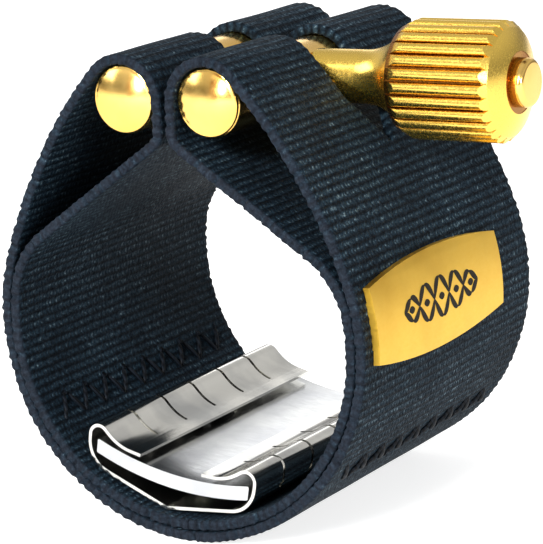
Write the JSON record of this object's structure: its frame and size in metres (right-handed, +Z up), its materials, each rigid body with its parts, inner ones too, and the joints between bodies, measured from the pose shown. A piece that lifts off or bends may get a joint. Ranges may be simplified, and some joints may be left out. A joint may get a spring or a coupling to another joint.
{
  "type": "saxophone ligature",
  "caption": "Fabric saxophone ligature: a woven strap round the mouthpiece, drawn tight by a thumb screw through two bars, with a sprung metal reed cradle.",
  "frame": {"origin": "centre of the mouthpiece opening, half way along the strap's width", "axes": "+X along the screw to its knob, +Y along the mouthpiece, +Z up from the reed cradle to the bars"},
  "size_m": [0.0387, 0.027, 0.0374],
  "materials": {
    "webbing": "navy-black ribbed rubberised webbing",
    "gold_plate": "polished gold plate",
    "bright_sheet": "bright spring steel",
    "bright_plate": "bright nickel plate",
    "satin_brass": "satin brass",
    "thread": "black sewing thread"
  },
  "bodies": {
    "strap": {"strap_band": "webbing", "strap_lining": "webbing", "cradle_spring": "bright_sheet", "cradle_plate": "bright_plate", "label_plate": "satin_brass", "seam_left": "thread", "seam_right": "thread"},
    "left_end": {"bar_left": "gold_plate", "loop_left": "webbing"},
    "right_end": {"bar_right": "gold_plate", "loop_right": "webbing"},
    "thumb_screw": {"thumb_screw_rod": "gold_plate", "thumb_screw_knob": "gold_plate"}
  },
  "joints": [
    {"name": "left_end_slide", "type": "slide", "parent": "strap", "child": "left_end", "axis": [-1, 0, 0], "range_m": [0, 0.00175]},
    {"name": "right_end_slide", "type": "slide", "parent": "strap", "child": "right_end", "axis": [1, 0, 0], "range_m": [0, 0.00175]},
    {"name": "thumb_screw_turn", "type": "hinge", "parent": "right_end", "child": "thumb_screw", "pos_m": [0.0085, 0, 0.0173], "axis": [1, 0, 0], "range_deg": [0, 2520]}
  ],
  "couplings": [
    {"joint": "thumb_screw_turn", "follows": "right_end_slide", "rad_per_m": 25133},
    {"joint": "left_end_slide", "follows": "right_end_slide", "ratio": 1}
  ]
}
